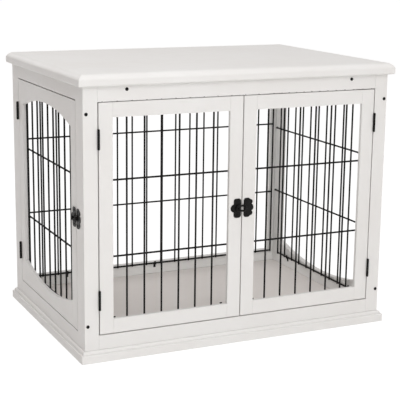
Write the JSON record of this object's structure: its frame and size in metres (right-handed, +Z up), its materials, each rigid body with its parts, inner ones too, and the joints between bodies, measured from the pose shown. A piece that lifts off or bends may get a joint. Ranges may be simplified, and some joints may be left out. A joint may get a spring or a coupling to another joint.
{
  "type": "dog crate end table",
  "caption": "Free-standing pet crate that serves as an end table: framed cabinet with wire mesh, double front doors, an arched side door, hasp latches and a moulded top.",
  "frame": {"origin": "on the floor, under the centre of the cabinet", "axes": "+X to the right and +Y to the rear as seen from the front doors, +Z up"},
  "size_m": [0.812, 0.57, 0.658],
  "materials": {
    "white_paint": "satin off-white paint on board",
    "floor_paint": "satin off-white coating on board",
    "black_wire": "satin black powder coat",
    "black_hardware": "satin black coating",
    "zinc_screws": "bright zinc"
  },
  "bodies": {
    "frame": {"base_moulding_front": "white_paint", "base_moulding_left": "white_paint", "base_moulding_rear": "white_paint", "base_moulding_right": "white_paint", "base_screws": "zinc_screws", "floor_batten": "white_paint", "floor_panel": "floor_paint", "frame_bolts": "black_hardware", "frame_mesh_clips": "black_hardware", "front_rail_bottom": "white_paint", "front_rail_top": "white_paint", "front_stile_left": "white_paint", "front_stile_right": "white_paint", "hinge_frame_leaves": "black_hardware", "hinge_pins": "black_hardware", "left_post_front": "white_paint", "left_post_rear": "white_paint", "left_rail_bottom": "white_paint", "left_rail_top": "white_paint", "rear_mesh": "black_wire", "rear_rail_bottom": "white_paint", "rear_rail_top": "white_paint", "rear_stile_left": "white_paint", "rear_stile_right": "white_paint", "right_post_front": "white_paint", "right_post_rear": "white_paint", "right_rail_bottom": "white_paint", "right_rail_top": "white_paint", "right_side_mesh": "black_wire", "side_hasp_plate": "black_hardware", "table_top": "white_paint", "top_cleats": "white_paint", "top_screws": "zinc_screws"},
    "left_door": {"front_stud_plate": "black_hardware", "left_door_hinge_leaves": "black_hardware", "left_door_hinge_stile": "white_paint", "left_door_meeting_stile": "white_paint", "left_door_mesh": "black_wire", "left_door_mesh_clips": "black_hardware", "left_door_rail_bottom": "white_paint", "left_door_rail_top": "white_paint"},
    "right_door": {"front_hasp_plate": "black_hardware", "right_door_hinge_leaves": "black_hardware", "right_door_hinge_stile": "white_paint", "right_door_meeting_stile": "white_paint", "right_door_mesh": "black_wire", "right_door_mesh_clips": "black_hardware", "right_door_rail_bottom": "white_paint", "right_door_rail_top": "white_paint"},
    "side_door": {"side_door_hinge_leaves": "black_hardware", "side_door_hinge_stile": "white_paint", "side_door_latch_stile": "white_paint", "side_door_mesh": "black_wire", "side_door_mesh_clips": "black_hardware", "side_door_rail_bottom": "white_paint", "side_door_rail_top": "white_paint", "side_stud_plate": "black_hardware"},
    "front_latch_loop": {"front_latch_loop": "black_hardware"},
    "side_latch_loop": {"side_latch_loop": "black_hardware"}
  },
  "joints": [
    {"name": "left_door_hinge", "type": "hinge", "parent": "frame", "child": "left_door", "pos_m": [-0.35775, -0.27535, 0.3285], "axis": [0, 0, -1], "range_deg": [0, 170]},
    {"name": "right_door_hinge", "type": "hinge", "parent": "frame", "child": "right_door", "pos_m": [0.35775, -0.27535, 0.3285], "axis": [0, 0, 1], "range_deg": [0, 170]},
    {"name": "side_door_hinge", "type": "hinge", "parent": "frame", "child": "side_door", "pos_m": [-0.39635, 0.22175, 0.3285], "axis": [0, 0, -1], "range_deg": [0, 170]},
    {"name": "front_latch_pivot", "type": "hinge", "parent": "right_door", "child": "front_latch_loop", "pos_m": [0.00785, -0.2768, 0.329], "axis": [0, 0, 1], "range_deg": [0, 165]},
    {"name": "side_latch_pivot", "type": "hinge", "parent": "frame", "child": "side_latch_loop", "pos_m": [-0.3978, -0.2296, 0.329], "axis": [0, 0, 1], "range_deg": [0, 165]}
  ]
}
